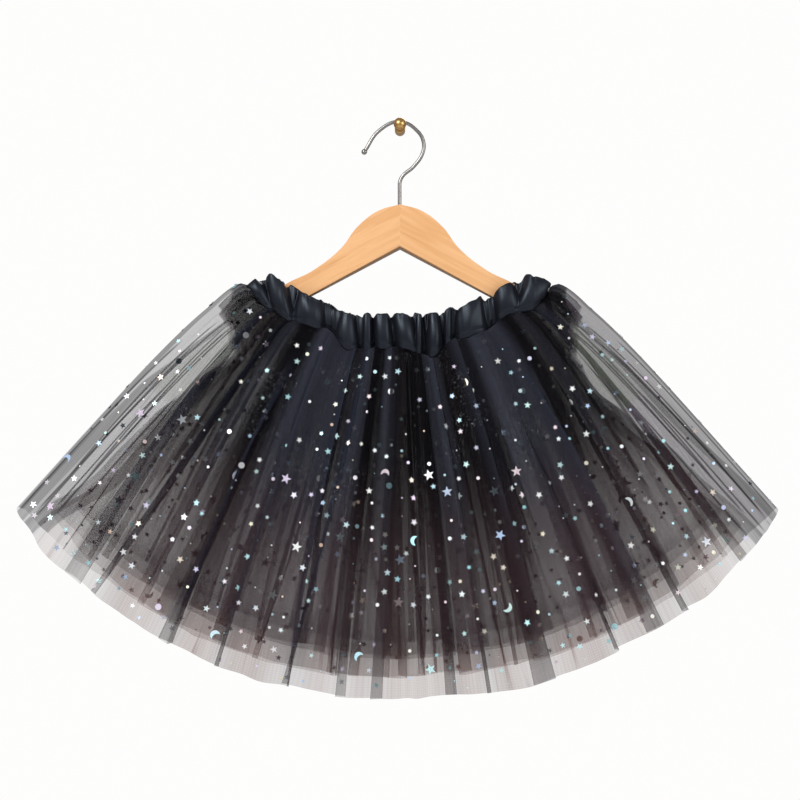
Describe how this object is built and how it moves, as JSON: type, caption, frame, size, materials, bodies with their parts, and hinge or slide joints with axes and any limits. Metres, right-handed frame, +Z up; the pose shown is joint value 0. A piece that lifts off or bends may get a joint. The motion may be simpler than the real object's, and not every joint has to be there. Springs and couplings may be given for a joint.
{
  "type": "ballet tutu on a wooden hanger and wall peg",
  "caption": "Layered tulle tutu with a gathered satin waistband, held flat by a wooden hanger that hooks over a brass wall peg.",
  "frame": {"origin": "on the wall, at the centre of the brass peg's flat back, where the wall holds the peg", "axes": "+Y into the wall, +X across the tutu to the viewer's right, +Z up"},
  "size_m": [0.5968, 0.1001, 0.4513],
  "materials": {
    "peg_brass": "aged, lightly polished",
    "hook_steel": "nickel plated wire",
    "hanger_wood": "pale hardwood, clear satin varnish",
    "band_satin": "blue-black satin",
    "printed_tulle": "black net with a scatter of foil stars, moons and dots",
    "plain_tulle": "black net"
  },
  "bodies": {
    "root": {"wall_peg": "peg_brass", "hook_wire": "hook_steel", "hanger_arm_left": "hanger_wood", "hanger_arm_right": "hanger_wood", "waistband_front": "band_satin", "waistband_back": "band_satin", "tulle_outer_front": "printed_tulle", "tulle_outer_back": "printed_tulle", "tulle_middle_front": "plain_tulle", "tulle_middle_back": "plain_tulle", "tulle_inner_front": "plain_tulle", "tulle_inner_back": "plain_tulle"}
  },
  "joints": []
}
